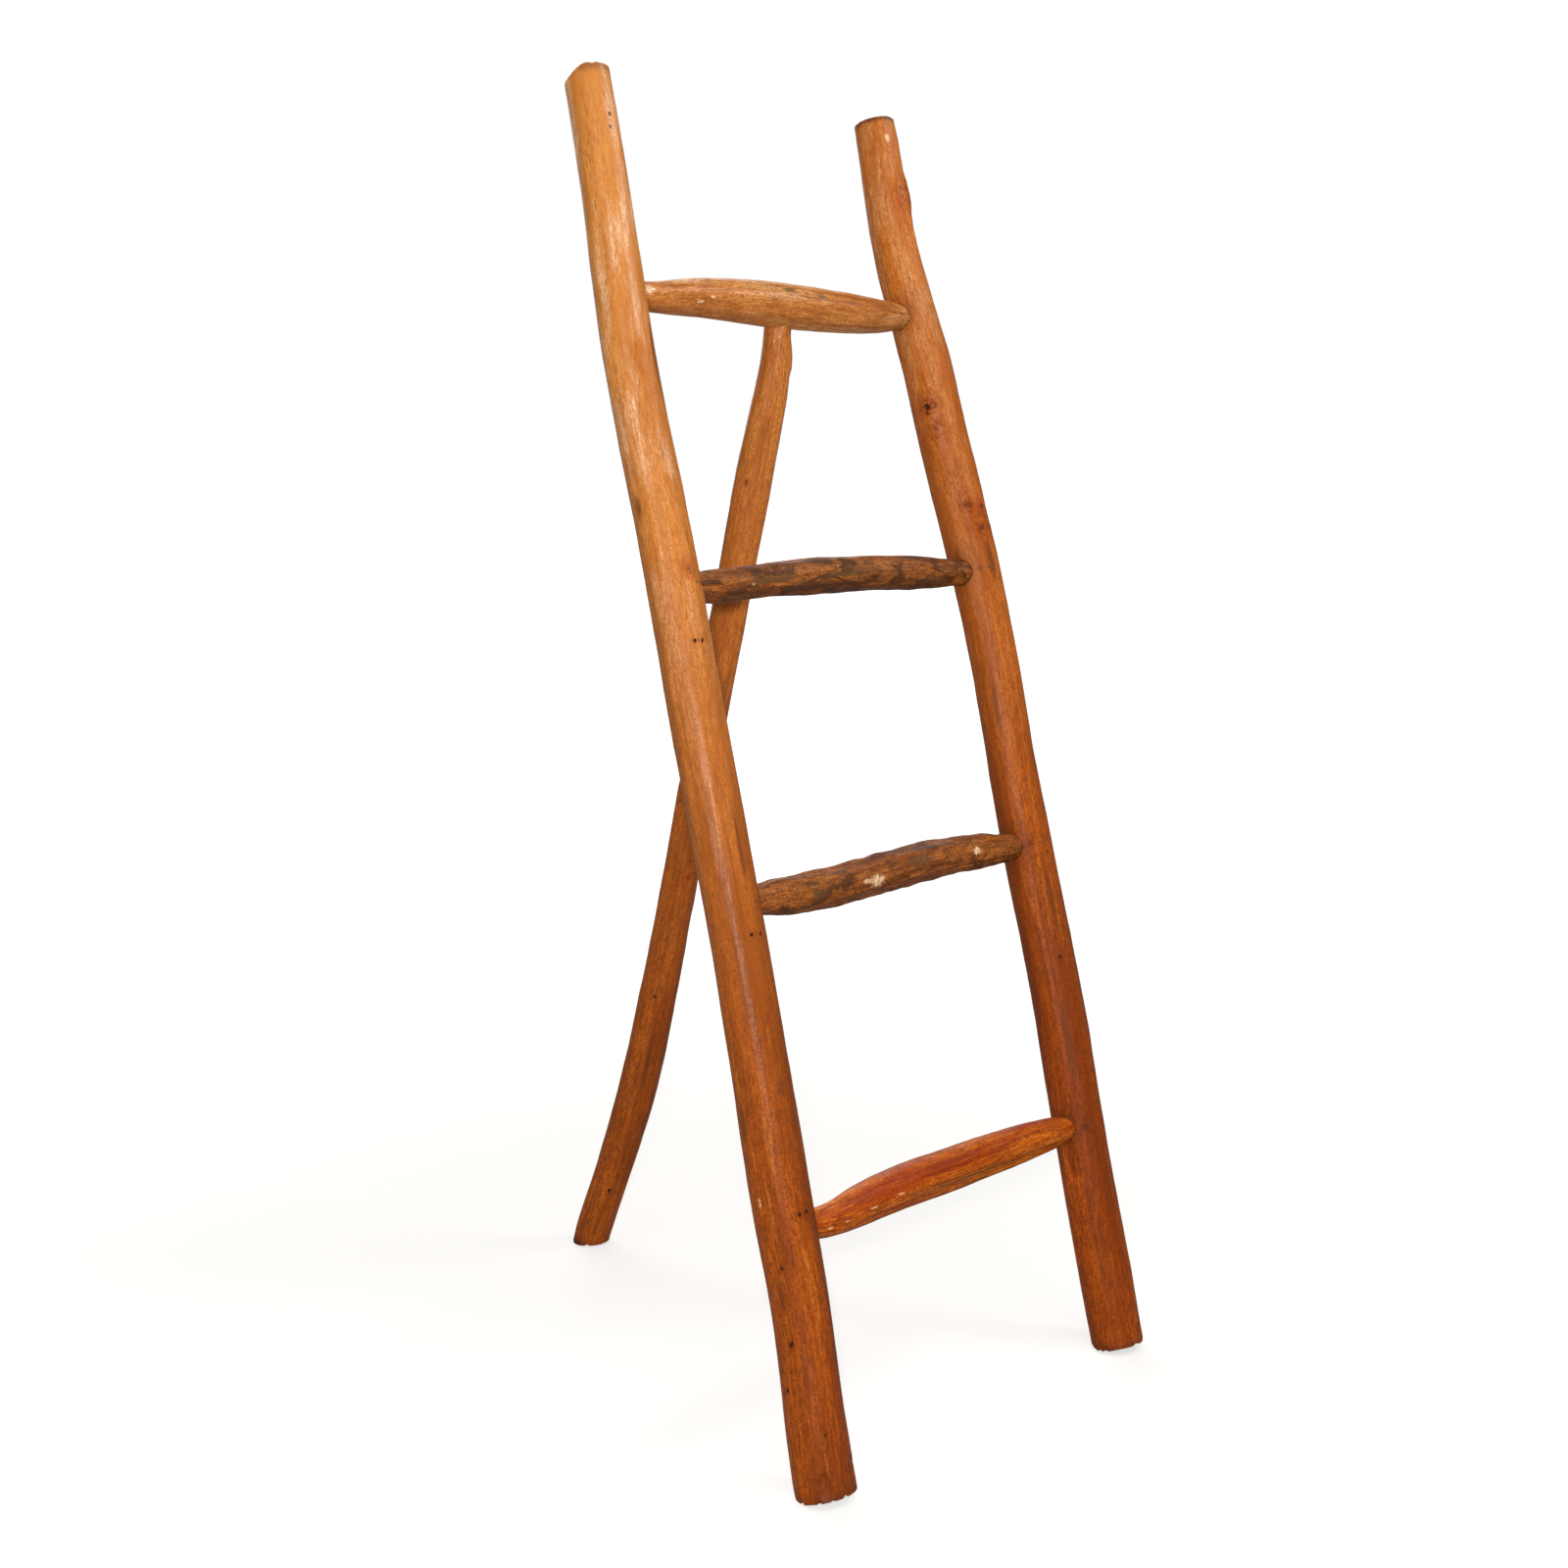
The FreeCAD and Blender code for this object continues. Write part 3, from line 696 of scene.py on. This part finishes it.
def steel(name):
    """Dull dark steel for the brads: a blotched tone, with a little rust."""
    g = Graph(name)
    place = g.attribute("grain")
    blotch = g.noise(place, scale=900, detail=4)
    colour = g.mix(g.span(blotch, 0.35, 0.65), rgb(0.045, 0.035, 0.030), rgb(0.16, 0.13, 0.115))
    rust = g.noise(place, scale=1500, detail=3)
    colour = g.mix(g.span(rust, 0.56, 0.70, 0.0, 0.7), colour, rgb(0.12, 0.030, 0.010))
    g.put(g.shader.inputs["Base Color"], colour)
    g.shader.inputs["Metallic"].default_value = 0.85
    g.put(g.shader.inputs["Roughness"], g.span(blotch, 0.3, 0.7, 0.32, 0.60))
    g.put(g.shader.inputs["Normal"], g.bump(rust, 0.05 * MM))
    return g.material


def floor_paint(name):
    """Pale matt studio floor, glowing faintly for the camera so that it stays pale away from the lamps.

    The glow is weaker near the rack, where the feet cast their shadows.
    """
    g = Graph(name)
    texture = g.tree.nodes.new("ShaderNodeTexCoord").outputs["Object"]
    cloud = g.noise(texture, scale=0.8, detail=3)
    g.put(g.shader.inputs["Base Color"], g.mix(cloud, rgb(0.30, 0.285, 0.265), rgb(0.33, 0.315, 0.295)))
    g.shader.inputs["Roughness"].default_value = 0.9
    g.shader.inputs["Specular IOR Level"].default_value = 0.1
    g.shader.inputs["Emission Color"].default_value = rgb(1.0, 1.0, 1.0)
    seen = g.tree.nodes.new("ShaderNodeLightPath").outputs["Is Camera Ray"]
    glow = g.span(g.length(texture), 0.5, 3.0, 0.62, 0.92)
    g.put(g.shader.inputs["Emission Strength"], g.math("MULTIPLY", seen, glow))
    return g.material


# ---------------------------------------------------------------- the logs

def foot_cut(tilt):
    """Cuts a log's low end at the floor. The cut is nearly square to the log, so its front lifts by tilt."""
    def cut(s, x, y, spine):
        floor = -(spine.start.z + x * spine.side.z + y * spine.other.z) / spine.along.z
        cx, cy, radius = spine.at(s)
        forward = np.clip(-(y - cy) / radius, -1, 1)
        lift = tilt * smooth_step(-0.75, 1.1, forward + 0.25 * (x - cx) / radius)
        wear = fractal_noise(np.column_stack([x * 110, y * 110, s * 0 + 3]), 91, 3)
        chip = np.clip(wear - 0.1, 0, 1) * 6 * MM
        return np.maximum(s, floor + lift + chip)
    return cut


def rail_trim(bevel):
    """The foot stands on its back rim; the left rail's head also has a chopped bevel with a rough edge."""
    foot = foot_cut(13 * MM)

    def trim(s, x, y, spine):
        s = foot(s, x, y, spine)
        cx, cy, radius = spine.at(s)
        nick = fractal_noise(np.column_stack([x * 90, y * 90, s * 0 + 8]), 95, 3)
        if bevel:
            lean = (x - cx) * math.cos(bevel["turn"]) + (y - cy) * math.sin(bevel["turn"])
            part = np.clip(lean / radius - bevel["start"], 0, None)
            roof = spine.high - bevel["drop"] * part ** 1.7 - np.clip(nick + 0.1, 0, 1) * 3 * MM
        else:
            roof = spine.high - np.clip(nick - 0.2, 0, 1) * 2.2 * MM
        return np.minimum(s, roof)
    return trim


def measure_logs():
    """The centre lines of the rails, the rungs and the leg, measured on their CAD nodes."""
    rails = {}
    for node, foot in (("left_rail", "left_foot"), ("right_rail", "right_foot")):
        rails[node] = Spine(node, MOUNTS[foot], UP_LADDER, ACROSS)
    rungs = {}
    for node in ("top_rung", "rung_2", "rung_3", "rung_4"):
        low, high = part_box(node)
        middle = (low + high) / 2
        start = LADDER_BASE + UP_LADDER * (middle - LADDER_BASE).dot(UP_LADDER)
        rungs[node] = Spine(node, start, ACROSS, BACK)
    leg = Spine("prop_leg", MOUNTS["prop_foot"], HINGE - MOUNTS["prop_foot"], ACROSS)
    return rails, rungs, leg


LEFT_RAIL = dict(
    seed=11, sides=128, pitch=2.5 * MM, lump=1.0, lump_rate=7, foot_round=0.05, head_round=0.05,
    flats=[(233, 1.25, 0.30, 1.0), (250, 0.78, 0.34, 0.9), (205, 0.45, 0.26, 0.8), (290, 1.1, 0.4, 0.7),
           (160, 0.9, 0.3, 0.8), (60, 1.0, 0.5, 1.0), (110, 0.4, 0.35, 0.8)],
    knots=[(1.066, 269, 7, 1.0, 0.5), (0.309, 75, 9, 1.6, 0.6), (0.869, 120, 7, 1.2, 0.5)],
    pins=[(1.603, 271, 2.6), (1.587, 267, 2.2), (0.981, 252, 3.0), (0.980, 269, 2.8), (0.640, 258, 2.8),
          (0.639, 280, 2.4), (0.321, 256, 2.6), (0.321, 274, 2.4), (0.179, 199, 3.4), (0.128, 175, 2.6),
          (0.076, 242, 1.6), (0.265, 205, 2.0)],
    scrapes=[(1.260, 220, 9, 1.8), (0.341, 184, 7, 1.4)],
    stains=[(0.234, 194, 18, 3), (0.427, 173, 24, 8), (0.464, 264, 16, 6), (0.743, 270, 55, 4),
            (1.143, 184, 20, 6), (1.309, 300, 60, 5)],
    dents=[(0.021, 228, 15, 9, 4.5), (0.029, 300, 16, 10, 3.0)],
    bands=[(0.0, 0.010, 0.8), (1.661, 0.006, 0.5)],
    trim=rail_trim(dict(turn=math.radians(142), start=0.0, drop=13 * MM)),
)
RIGHT_RAIL = dict(
    seed=23, sides=128, pitch=2.5 * MM, lump=1.3, lump_rate=8, foot_round=0.06, head_round=0.04,
    flats=[(215, 1.05, 0.25, 0.9), (240, 0.75, 0.30, 0.9), (228, 0.42, 0.22, 0.8), (300, 0.8, 0.4, 0.8),
           (90, 1.0, 0.5, 1.0), (40, 0.5, 0.4, 0.8)],
    knots=[(1.270, 202, 11, 2.2, 1.6), (1.241, 212, 10, 2.2, 0.0), (1.134, 240, 9, 1.2, 0.6),
           (1.100, 255, 10, 1.4, 0.7), (1.102, 284, 8, 1.0, 0.6), (1.130, 272, 7, 1.0, 0.6),
           (1.555, 300, 16, 4.5, 0.0), (0.519, 90, 9, 1.5, 0.6), (0.959, 60, 7, 1.2, 0.5)],
    pins=[(1.547, 296, 2.6), (0.662, 268, 1.8), (0.522, 244, 2.4)],
    scrapes=[(1.635, 250, 7, 4)],
    stains=[(1.059, 262, 28, 7), (0.869, 205, 60, 4), (0.409, 225, 60, 5), (0.609, 250, 50, 4)],
    dents=[(0.254, 188, 42, 10, 3.2), (0.139, 160, 25, 8, 1.5), (0.019, 290, 12, 9, 3.0)],
    bands=[(0.0, 0.010, 0.8), (1.663, 0.004, 0.9)],
    trim=rail_trim(None),
)
TOP_RUNG = dict(
    seed=31, sides=112, pitch=1.9 * MM, lump=0.7, lump_rate=14, ridge=0.2, calm=True,
    flats=[(205, -0.02, 0.22, 0.8), (150, 0.05, 0.2, 0.7), (260, 0.0, 0.22, 0.8)],
    scrapes=[(-0.231, 168, 12, 7), (-0.153, 211, 5, 2.2), (-0.134, 196, 4, 2.0), (0.235, 160, 8, 4)],
    stains=[(-0.004, 154, 12, 5), (0.05, 168, 12, 5)],
)
RUNG_2 = dict(
    seed=47, blend=1.2, sides=112, pitch=1.9 * MM, lump=1.3, lump_rate=16, ridge=0.45, hewn=0.2, calm=True,
    flats=[(195, -0.1, 0.12, 1.0), (170, 0.08, 0.13, 1.0), (225, 0.1, 0.15, 1.0), (240, -0.1, 0.15, 0.9)],
    scrapes=[(-0.151, 196, 3, 1.5)],
    stains=[(-0.117, 190, 45, 5), (0.018, 187, 50, 5), (0.17, 222, 30, 5)],
)
RUNG_3 = dict(
    seed=59, blend=0.7, sides=112, pitch=1.9 * MM, lump=1.8, lump_rate=20, ridge=0.7, hewn=0.3, calm=True,
    flats=[(195, -0.13, 0.07, 1.8), (172, -0.02, 0.08, 2.0), (205, 0.05, 0.07, 1.8), (180, 0.13, 0.07, 1.8),
           (235, 0.0, 0.15, 1.5), (130, -0.07, 0.08, 1.8), (120, 0.07, 0.08, 1.8)],
    scrapes=[(-0.041, 194, 13, 9), (0.153, 179, 8, 6), (-0.06, 186, 7, 3)],
    stains=[(-0.138, 192, 15, 7), (0.041, 173, 30, 11)],
)
RUNG_4 = dict(
    seed=67, blend=0.8, sides=112, pitch=1.9 * MM, lump=0.8, lump_rate=14, ridge=0.2, calm=True,
    flats=[(216, 0.02, 0.20, 2.4), (170, 0.0, 0.2, 0.7)],
    scrapes=[(-0.100, 182, 6, 0.9), (-0.146, 188, 7, 1.0), (-0.190, 193, 4, 1.1), (-0.216, 199, 4, 1.5)],
    stains=[(0.03, 207, 90, 2.2)],
)
PROP_LEG = dict(
    seed=83, sides=112, pitch=2.4 * MM, lump=1.0, lump_rate=9, foot_round=0.16,
    flats=[(230, 0.9, 0.3, 0.9), (210, 0.4, 0.25, 0.9), (80, 0.7, 0.4, 0.9)],
    knots=[(0.629, 250, 6, 0.9, 0.4), (0.959, 100, 7, 1.2, 0.5)],
    pins=[(0.109, 232, 2.6), (0.439, 215, 2.2), (0.789, 240, 2.2)],
    stains=[(1.189, 205, 8, 4), (0.339, 235, 60, 4), (0.749, 220, 80, 3)],
    dents=[(1.372, 318, 40, 26, -2.8)],
    bands=[(0.0, 0.012, 0.9)],
    trim=foot_cut(3 * MM),
)


def mortise(spine, at_high, out, gap, slack, length):
    """The cutter for one tenon's hole: it starts a gap past the tenon's tip and runs out along the tenon."""
    tip_s, inward = (spine.high, -1) if at_high else (spine.low, 1)
    x, y, radius = spine.at(tip_s + inward * TENON_PROBE)
    tip = spine.point(np.array([tip_s - inward * gap]), np.array([x]), np.array([y]))[0]
    return Vector(tip), out, length, radius + slack


def joint_shade(rungs):
    """Painted shade in the corners where each rung meets a rail, and round the rung's tenons."""
    shade_and_dirt = {"left_rail": [], "right_rail": []}
    for spine in rungs.values():
        height = (spine.start - LADDER_BASE).dot(UP_LADDER)
        shade_and_dirt["left_rail"].append((height, 0, 23 * MM, 0.75))
        shade_and_dirt["right_rail"].append((height, 180, 23 * MM, 0.75))
    return shade_and_dirt


def make_brad(name, seat, inward):
    """A small domed nail head on a short shank, the head a little out of round."""
    profile = [(0.0, -0.75), (0.55, -0.70), (1.05, -0.52), (1.45, -0.25), (1.75, 0.05), (1.8, 0.35),
               (1.5, 0.6), (0.9, 0.75), (0.9, 4.0), (0.6, 7.0), (0.0, 8.5)]
    sides = 28
    across = inward.orthogonal().normalized()
    other = inward.cross(across)
    points, faces = [], []
    uneven = [1 + 0.05 * math.sin(2 * k * 2 * math.pi / sides + len(name)) for k in range(sides)]
    for wide, deep in profile:
        for k in range(sides):
            angle = k * 2 * math.pi / sides
            arm = (across * math.cos(angle) + other * math.sin(angle)) * wide * uneven[k] * MM
            points.append(seat + arm + inward * deep * MM)
    for ring in range(len(profile) - 1):
        for k in range(sides):
            nxt = (k + 1) % sides
            base = ring * sides
            faces.append([base + k, base + nxt, base + sides + nxt, base + sides + k])
    piece = new_piece(name, points, faces)
    piece.data.validate()
    write(piece.data, "grain", "FLOAT_VECTOR", np.array(points))
    piece.data.shade_smooth()
    return piece


def finish_piece(piece, material, slot, body, *nodes):
    piece.data.materials.clear()
    piece.data.materials.append(material)
    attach(piece, body)
    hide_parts(*nodes)


def build_rack():
    rails, rungs, leg = measure_logs()
    looks = {"left_rail": wood("left_rail_varnish", HONEY),
             "right_rail": wood("right_rail_varnish", RED_HONEY),
             "light": wood("light_rung_varnish", LIGHT_RUNG), "dark": wood("dark_rung_varnish", DARK_RUNG),
             "prop": wood("prop_varnish", PROP)}
    iron = steel("brad_steel")
    shade_and_dirt = joint_shade(rungs)

    brads = {}
    for name in sorted(frame["nodes"]):
        if name.startswith("brad"):
            low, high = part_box(name)
            brads[name] = (low + high) / 2
    for node, log in (("left_rail", LEFT_RAIL), ("right_rail", RIGHT_RAIL)):
        spine = rails[node]
        log["grime_and_shade"] = shade_and_dirt[node]
        side = node.split("_")[0]
        for name, middle in brads.items():
            if name.split("_")[1] == side:
                s, x, y = spine.local(np.array([middle]))
                log["grime_and_shade"].append((s[0], math.degrees(math.atan2(y[0], x[0])), 4.5 * MM, 0.9))
        piece = build_log(node + "_wood", spine, log)
        out = ACROSS if side == "left" else -ACROSS
        bore_holes(piece, [mortise(rung, side == "right", out, 1.5 * MM, 0.8 * MM, 70 * MM)
                           for rung in rungs.values()])
        paint_log(piece, spine, log)
        finish_piece(piece, looks[node], "rail_wood", "ladder", node)
        tree = BVHTree.FromObject(piece, bpy.context.evaluated_depsgraph_get())
        for name, middle in brads.items():
            if name.split("_")[1] == side:
                seat = tree.ray_cast(middle - BACK * 0.1, BACK)[0]
                brad = make_brad(name + "_nail", seat, BACK)
                finish_piece(brad, iron, "brad_steel", "ladder", name)

    for node, log, look, body in (("top_rung", TOP_RUNG, "light", "prop"),
                                  ("rung_2", RUNG_2, "dark", "ladder"),
                                  ("rung_3", RUNG_3, "dark", "ladder"),
                                  ("rung_4", RUNG_4, "light", "ladder")):
        spine = rungs[node]
        # Painted shade: darker bands near each end of a rung, where it meets the rails.
        log["bands"] = [(spine.low + 25 * MM, 9 * MM, 0.75), (spine.high - 25 * MM, 9 * MM, 0.75)]
        piece = build_log(node + "_wood", spine, log)
        if node == "top_rung":
            bore_holes(piece, [mortise(leg, True, -leg.along, 0.5 * MM, 0.5 * MM, 60 * MM)])
        paint_log(piece, spine, log)
        finish_piece(piece, looks[look], look + "_rung_wood", body, node)

    piece = build_log("prop_leg_wood", leg, PROP_LEG)
    paint_log(piece, leg, PROP_LEG)
    finish_piece(piece, looks["prop"], "prop_wood", "prop", "prop_leg")


# ---------------------------------------------------------------- floor, light and camera

# The camera as a perspective solution of the photograph gives it.
EYE = Vector((-1.7694, -1.8247, 1.1427))
YAW, PITCH = math.radians(44.54), math.radians(8.96)
LENS = 45.1


def aim(thing, at, target):
    thing.location = at
    thing.rotation_euler = (Vector(target) - Vector(at)).to_track_quat("-Z", "Y").to_euler()


def add_lamp(name, kind, energy, at, target):
    lamp = bpy.data.lights.new(name, kind)
    lamp.energy = energy
    thing = bpy.data.objects.new(name, lamp)
    bpy.context.scene.collection.objects.link(thing)
    aim(thing, at, target)
    return lamp


def set_stage():
    """A floor without a visible edge, a room that is white to the camera only, lamps and the camera."""
    scene = bpy.context.scene
    reach = 60
    corners = [(-reach, -reach, 0), (reach, -reach, 0), (reach, reach, 0), (-reach, reach, 0)]
    floor = new_piece("floor", corners, [(0, 1, 2, 3)])
    floor.data.materials.append(floor_paint("floor_paint"))

    world = bpy.data.worlds.new("studio")
    scene.world = world
    world.use_nodes = True
    tree = world.node_tree
    sky = tree.nodes["Background"]
    sky.inputs["Color"].default_value = (1, 1, 1, 1)
    sky.inputs["Strength"].default_value = 1.0
    room = tree.nodes.new("ShaderNodeBackground")
    room.inputs["Color"].default_value = (1.0, 0.97, 0.94, 1)
    room.inputs["Strength"].default_value = 0.12
    path = tree.nodes.new("ShaderNodeLightPath")
    blend = tree.nodes.new("ShaderNodeMixShader")
    tree.links.new(path.outputs["Is Camera Ray"], blend.inputs[0])
    tree.links.new(room.outputs[0], blend.inputs[1])
    tree.links.new(sky.outputs[0], blend.inputs[2])
    tree.links.new(blend.outputs[0], tree.nodes["World Output"].inputs["Surface"])

    for name, energy, at in (("ceiling", 1.5, (-1.2, -2.2, 5)), ("behind", 1.9, (1.4, 3.2, 2.4))):
        add_lamp(name, "SUN", energy, at, (0, 0, 0)).angle = math.radians(60)
    above_eye = EYE + Vector((-0.02, 0.02, 0.10))
    for name, energy, at, target, size in (("flash", 56, above_eye, (0, -0.1, 0.8), 0.15),
                                           ("window", 34, (1.5, -1.7, 2.9), (0, -0.1, 1.5), 0.8)):
        lamp = add_lamp(name, "AREA", energy, at, target)
        lamp.shape, lamp.size = "DISK", size

    camera = bpy.data.cameras.new("camera")
    camera.lens, camera.sensor_width = LENS, 36
    camera.clip_end = 500
    viewer = bpy.data.objects.new("camera", camera)
    scene.collection.objects.link(viewer)
    ahead = Vector((math.sin(YAW) * math.cos(PITCH), math.cos(YAW) * math.cos(PITCH), -math.sin(PITCH)))
    aim(viewer, EYE, EYE + ahead)
    scene.camera = viewer
    scene.view_settings.view_transform = "Standard"


def add_rise():
    """How high each vertex stands, from 0 at the floor to 1 at the top of the rails."""
    for thing in list(bpy.context.scene.objects):
        if thing.type == "MESH" and thing.name.endswith("_wood"):
            points = np.empty(len(thing.data.vertices) * 3)
            thing.data.vertices.foreach_get("co", points)
            write(thing.data, "rise", "FLOAT", points.reshape(-1, 3)[:, 2] / CAD_BOX[1].z)


build_rack()
add_rise()
set_stage()
